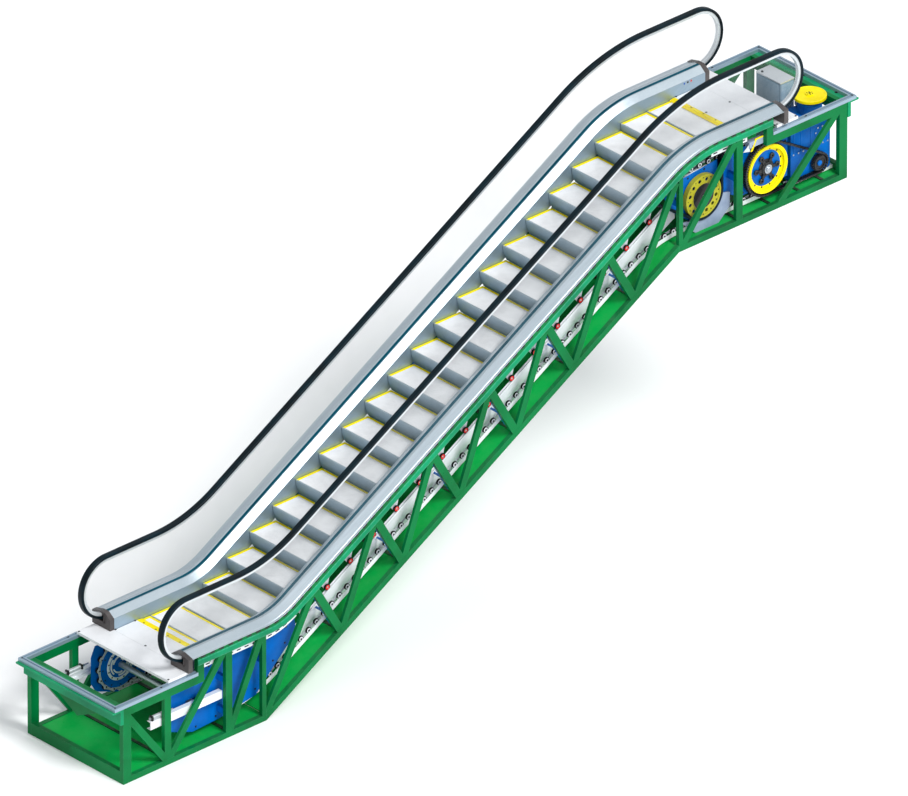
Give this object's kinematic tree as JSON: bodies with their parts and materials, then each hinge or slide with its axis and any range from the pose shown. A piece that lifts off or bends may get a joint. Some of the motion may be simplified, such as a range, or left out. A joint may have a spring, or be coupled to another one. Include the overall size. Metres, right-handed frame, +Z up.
{
  "type": "escalator",
  "caption": "Inclined escalator with glass balustrades and moving steps on an open green truss, with its drive machine in the upper pit and its tension gear in the lower pit.",
  "frame": {"origin": "on the underside of the lower support flange, at the middle of its width and length", "axes": "+X runs level from the lower landing towards the upper one, +Y across to the far side, +Z up"},
  "size_m": [11.3917, 1.62, 5.58],
  "materials": {
    "truss_green": "semi-gloss green paint on steel",
    "pan_green": "semi-gloss bright green paint on sheet steel",
    "trim_aluminium": "anodised",
    "plate_aluminium": "fine grooved, matt",
    "comb_yellow": "yellow powder coat",
    "step_aluminium": "grooved die casting with yellow edge lines",
    "roller_red": "red polyurethane tyre",
    "chain_steel": "oiled steel",
    "track_steel": "bright zinc plate",
    "blue_steel": "semi-gloss blue paint on steel",
    "skirt_steel": "satin stainless",
    "deck_steel": "satin stainless",
    "strip_teal": "teal enamel",
    "clear_glass": "clear toughened glass",
    "guide_aluminium": "satin anodised",
    "handrail_rubber": "smooth black-teal rubber",
    "cap_plastic": "moulded dark grey",
    "black_iron": "oiled black",
    "wheel_yellow": "yellow paint",
    "shoe_grey": "light blue-grey paint",
    "cabinet_grey": "light grey powder coat",
    "button_red": "moulded"
  },
  "bodies": {
    "truss": {"bottom_pan_incline": "pan_green", "bottom_pan_lower": "pan_green", "bottom_pan_upper": "pan_green", "bottom_ribs": "truss_green", "brake_unit": "shoe_grey", "comb_plates": "plate_aluminium", "combs": "comb_yellow", "control_buttons": "button_red", "controller_cabinet": "cabinet_grey", "deck_far": "deck_steel", "deck_near": "deck_steel", "deck_strips": "strip_teal", "drive_chain": "black_iron", "floor_plates": "plate_aluminium", "gearbox": "blue_steel", "glass_panels": "clear_glass", "handrail_far": "handrail_rubber", "handrail_guides": "guide_aluminium", "handrail_near": "handrail_rubber", "handrail_shoes": "shoe_grey", "landing_beams": "truss_green", "lower_track_panels": "blue_steel", "machine_bed": "track_steel", "motor": "blue_steel", "newel_caps": "cap_plastic", "panel_brackets": "blue_steel", "pit_trims": "trim_aluminium", "skirts": "skirt_steel", "step_chains": "chain_steel", "step_rollers": "roller_red", "step_tracks_far": "track_steel", "step_tracks_near": "track_steel", "steps": "step_aluminium", "support_angles": "truss_green", "tension_carriages": "track_steel", "tension_springs": "track_steel", "track_brackets": "blue_steel", "truss_ends": "truss_green", "truss_side_far_incline": "truss_green", "truss_side_far_lower": "truss_green", "truss_side_far_upper": "truss_green", "truss_side_near_incline": "truss_green", "truss_side_near_lower": "truss_green", "truss_side_near_upper": "truss_green", "turnaround_guides": "blue_steel", "turnaround_shaft": "track_steel", "upper_track_panels": "blue_steel"},
    "main_drive": {"main_shaft": "black_iron", "chain_sprockets": "blue_steel", "main_drive_wheel": "wheel_yellow"},
    "pinion": {"drive_pinion": "black_iron"},
    "flywheel": {"flywheel": "wheel_yellow"},
    "handrail_drive": {"handrail_wheels": "wheel_yellow", "handrail_shaft": "black_iron"}
  },
  "joints": [
    {"name": "main_shaft_spin", "type": "hinge", "parent": "truss", "child": "main_drive", "pos_m": [10.00166, 0, 3.185], "axis": [0, 1, 0], "continuous": true},
    {"name": "pinion_spin", "type": "hinge", "parent": "truss", "child": "pinion", "pos_m": [10.81166, -0.673, 2.957], "axis": [0, 1, 0], "continuous": true},
    {"name": "handrail_wheel_spin", "type": "hinge", "parent": "truss", "child": "handrail_drive", "pos_m": [9.02467, 0, 3.19], "axis": [0, 1, 0], "continuous": true},
    {"name": "flywheel_spin", "type": "hinge", "parent": "truss", "child": "flywheel", "pos_m": [10.90967, -0.425, 3.687], "axis": [0, 0, 1], "continuous": true}
  ],
  "couplings": [
    {"joint": "pinion_spin", "follows": "main_shaft_spin", "ratio": 2.7908},
    {"joint": "handrail_wheel_spin", "follows": "main_shaft_spin", "ratio": 1.2281},
    {"joint": "flywheel_spin", "follows": "main_shaft_spin", "ratio": 24}
  ]
}
